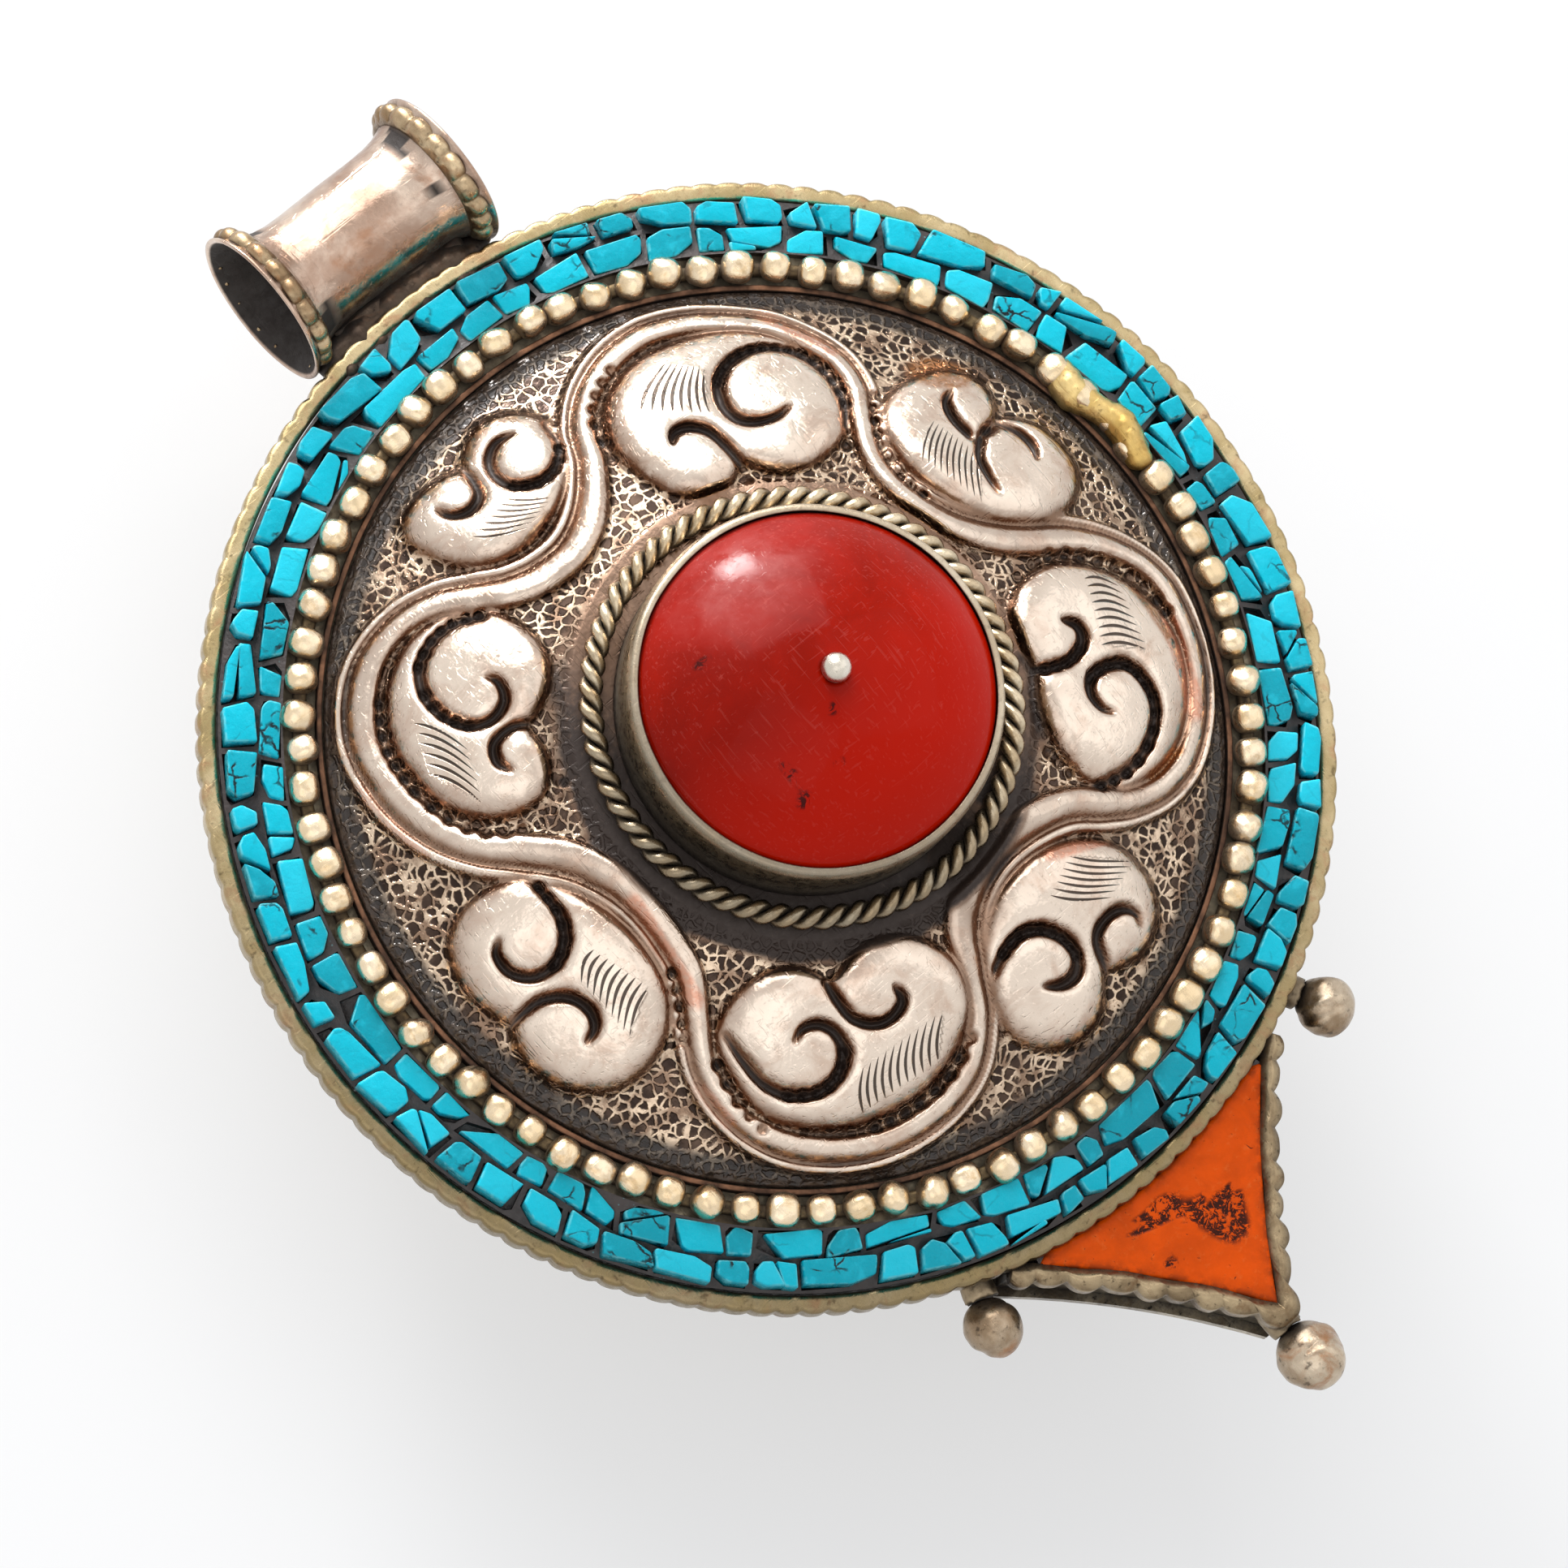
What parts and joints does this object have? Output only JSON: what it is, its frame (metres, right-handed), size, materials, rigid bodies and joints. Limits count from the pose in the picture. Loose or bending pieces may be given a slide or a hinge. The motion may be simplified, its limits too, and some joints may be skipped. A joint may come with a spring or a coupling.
{
  "type": "amulet box pendant",
  "caption": "Round shallow ghau box with a domed scroll plate, mosaic border, coral boss, tube bail, drop with ball finials and a lift-off back.",
  "frame": {"origin": "centre of the round back face of the back cover", "axes": "+Z out of the front, square to the back face; +Y from the middle of the box to the bail; +X along the bore of the bail"},
  "size_m": [0.058, 0.08, 0.0217],
  "materials": {
    "case_metal": "dull white metal with brown tarnish",
    "old_brass": "matte old brass, ground flat",
    "resin": "dark set resin",
    "turquoise": "polished turquoise chips with dark veins",
    "grain_wire": "pale worn grain wire",
    "copper": "dull copper",
    "silver": "burnished white metal with dark oxide in the recesses",
    "twisted_silver": "worn twisted wire",
    "packing": "shellac packing",
    "coral": "polished red coral",
    "bail_silver": "warm white metal, worn bright on top",
    "solder": "blackened solder",
    "orange_coral": "orange composition with dark pits",
    "finial_brass": "tarnished solid balls"
  },
  "bodies": {
    "case": {"case_wall": "case_metal", "channel_plate": "case_metal", "rim_wire": "old_brass", "mosaic_bed": "resin", "turquoise_chips": "turquoise", "bead_ring": "grain_wire", "copper_strip": "copper", "scroll_plate": "silver", "twisted_wire": "twisted_silver", "bezel_wall": "silver", "coral_packing": "packing", "coral_cabochon": "coral", "centre_pin": "silver", "bail_tube": "bail_silver", "bail_collar_left": "bail_silver", "bail_collar_right": "bail_silver", "bail_saddle": "solder", "drop_plate": "case_metal", "drop_strip": "case_metal", "drop_edge_wire": "old_brass", "drop_cement": "resin", "drop_coral": "orange_coral", "shoulder_finial_left": "finial_brass", "shoulder_finial_right": "finial_brass", "tip_finial": "finial_brass", "finial_pegs": "solder"},
    "back_cover": {"lid_plate": "case_metal", "lid_flange": "case_metal"}
  },
  "joints": [
    {"name": "cover_pull", "type": "slide", "parent": "case", "child": "back_cover", "axis": [0, 0, -1], "range_m": [0, 0.01]}
  ]
}
